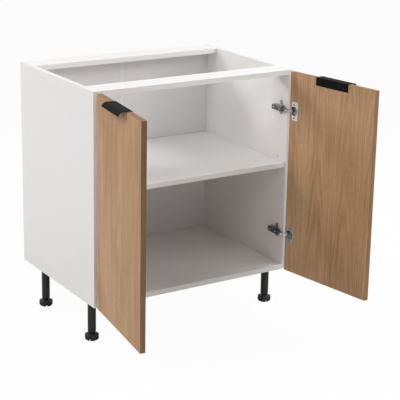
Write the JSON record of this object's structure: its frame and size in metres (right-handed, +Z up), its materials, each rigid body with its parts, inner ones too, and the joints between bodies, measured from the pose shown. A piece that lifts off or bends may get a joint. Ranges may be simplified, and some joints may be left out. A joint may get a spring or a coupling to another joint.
{
  "type": "kitchen base cabinet",
  "caption": "White kitchen base cabinet on adjustable legs, its oak doors open on concealed hinges over an inner shelf, with black edge handles.",
  "frame": {"origin": "on the floor, in the middle of the space that the cabinet takes with both doors open", "axes": "+X to the right as seen from the front, +Y to the back, +Z up"},
  "size_m": [0.9288, 0.9706, 0.9],
  "materials": {
    "white_board": "white melamine faced chipboard, fine satin texture",
    "back_board": "white lacquered hardboard",
    "white_plastic": "white ABS strip",
    "zinc": "zinc cam fitting",
    "beech": "fluted beech",
    "bright_steel": "zinc plated steel",
    "spring_steel": "spring steel",
    "black_plastic": "moulded black plastic",
    "oak_board": "light oak decor with upright grain",
    "oak_edge": "light oak edge band",
    "black_metal": "matt black painted aluminium",
    "nickel": "nickel plated pressed steel",
    "dark_nickel": "nickel plated pressed steel, shaded"
  },
  "bodies": {
    "carcass": {"left_side_panel": "white_board", "right_side_panel": "white_board", "bottom_panel": "white_board", "front_rail": "white_board", "rear_rail": "white_board", "back_panel_left": "back_board", "back_panel_right": "back_board", "back_joint_strip": "white_plastic", "cam_bolts": "zinc", "cam_locks": "zinc", "wood_dowels": "beech", "front_edge_bands": "white_plastic", "shelf_pins": "bright_steel", "front_left_leg_base": "black_plastic", "front_right_leg_base": "black_plastic", "rear_left_leg_base": "black_plastic", "rear_right_leg_base": "black_plastic", "front_left_leg_tube": "black_plastic", "front_right_leg_tube": "black_plastic", "rear_left_leg_tube": "black_plastic", "rear_right_leg_tube": "black_plastic", "leg_screws": "bright_steel", "left_upper_hinge_plate": "nickel", "left_lower_hinge_plate": "nickel", "right_upper_hinge_plate": "nickel", "right_lower_hinge_plate": "nickel", "left_upper_hinge_arm": "dark_nickel", "left_lower_hinge_arm": "dark_nickel", "right_upper_hinge_arm": "dark_nickel", "right_lower_hinge_arm": "dark_nickel", "hinge_arm_pins": "bright_steel", "hinge_plate_screws": "bright_steel", "hinge_springs": "spring_steel"},
    "shelf": {"shelf": "white_board"},
    "front_left_foot": {"front_left_foot": "black_plastic"},
    "front_right_foot": {"front_right_foot": "black_plastic"},
    "rear_left_foot": {"rear_left_foot": "black_plastic"},
    "rear_right_foot": {"rear_right_foot": "black_plastic"},
    "left_outer_links": {"left_upper_outer_link": "nickel", "left_lower_outer_link": "nickel"},
    "left_inner_links": {"left_upper_inner_link": "nickel", "left_lower_inner_link": "nickel"},
    "left_door": {"left_door": "oak_board", "left_door_edge_bands": "oak_edge", "left_handle": "black_metal", "left_door_screws": "bright_steel", "left_upper_hinge_cup": "nickel", "left_lower_hinge_cup": "nickel", "left_cup_pins": "bright_steel"},
    "right_outer_links": {"right_upper_outer_link": "nickel", "right_lower_outer_link": "nickel"},
    "right_inner_links": {"right_upper_inner_link": "nickel", "right_lower_inner_link": "nickel"},
    "right_door": {"right_door": "oak_board", "right_door_edge_bands": "oak_edge", "right_handle": "black_metal", "right_door_screws": "bright_steel", "right_upper_hinge_cup": "nickel", "right_lower_hinge_cup": "nickel", "right_cup_pins": "bright_steel"}
  },
  "joints": [
    {"name": "shelf_lift", "type": "slide", "parent": "carcass", "child": "shelf", "axis": [0, 0, 1], "range_m": [0, 0.06]},
    {"name": "front_left_foot_screw", "type": "slide", "parent": "carcass", "child": "front_left_foot", "axis": [0, 0, -1], "range_m": [0, 0.02]},
    {"name": "front_right_foot_screw", "type": "slide", "parent": "carcass", "child": "front_right_foot", "axis": [0, 0, -1], "range_m": [0, 0.02]},
    {"name": "rear_left_foot_screw", "type": "slide", "parent": "carcass", "child": "rear_left_foot", "axis": [0, 0, -1], "range_m": [0, 0.02]},
    {"name": "rear_right_foot_screw", "type": "slide", "parent": "carcass", "child": "rear_right_foot", "axis": [0, 0, -1], "range_m": [0, 0.02]},
    {"name": "left_outer_link_turn", "type": "hinge", "parent": "carcass", "child": "left_outer_links", "pos_m": [-0.36331, -0.08144, 0.5255], "axis": [0, 0, -1], "range_deg": [0, 52.86]},
    {"name": "left_door_swing", "type": "hinge", "parent": "left_outer_links", "child": "left_door", "pos_m": [-0.38165, -0.10091, 0.5255], "axis": [0, 0, 1], "range_deg": [0, 151.35]},
    {"name": "left_inner_link_turn", "type": "hinge", "parent": "carcass", "child": "left_inner_links", "pos_m": [-0.36867, -0.08105, 0.5255], "axis": [0, 0, -1], "range_deg": [0, 53.59]},
    {"name": "right_outer_link_turn", "type": "hinge", "parent": "carcass", "child": "right_outer_links", "pos_m": [0.36331, -0.08144, 0.5255], "axis": [0, 0, 1], "range_deg": [0, 52.86]},
    {"name": "right_door_swing", "type": "hinge", "parent": "right_outer_links", "child": "right_door", "pos_m": [0.38165, -0.10091, 0.5255], "axis": [0, 0, -1], "range_deg": [0, 151.35]},
    {"name": "right_inner_link_turn", "type": "hinge", "parent": "carcass", "child": "right_inner_links", "pos_m": [0.36867, -0.08105, 0.5255], "axis": [0, 0, 1], "range_deg": [0, 53.59]}
  ],
  "couplings": [
    {"joint": "left_outer_link_turn", "follows": "left_door_swing", "ratio": 0.34919},
    {"joint": "left_inner_link_turn", "follows": "left_door_swing", "ratio": 0.354},
    {"joint": "right_outer_link_turn", "follows": "right_door_swing", "ratio": 0.34919},
    {"joint": "right_inner_link_turn", "follows": "right_door_swing", "ratio": 0.354}
  ]
}
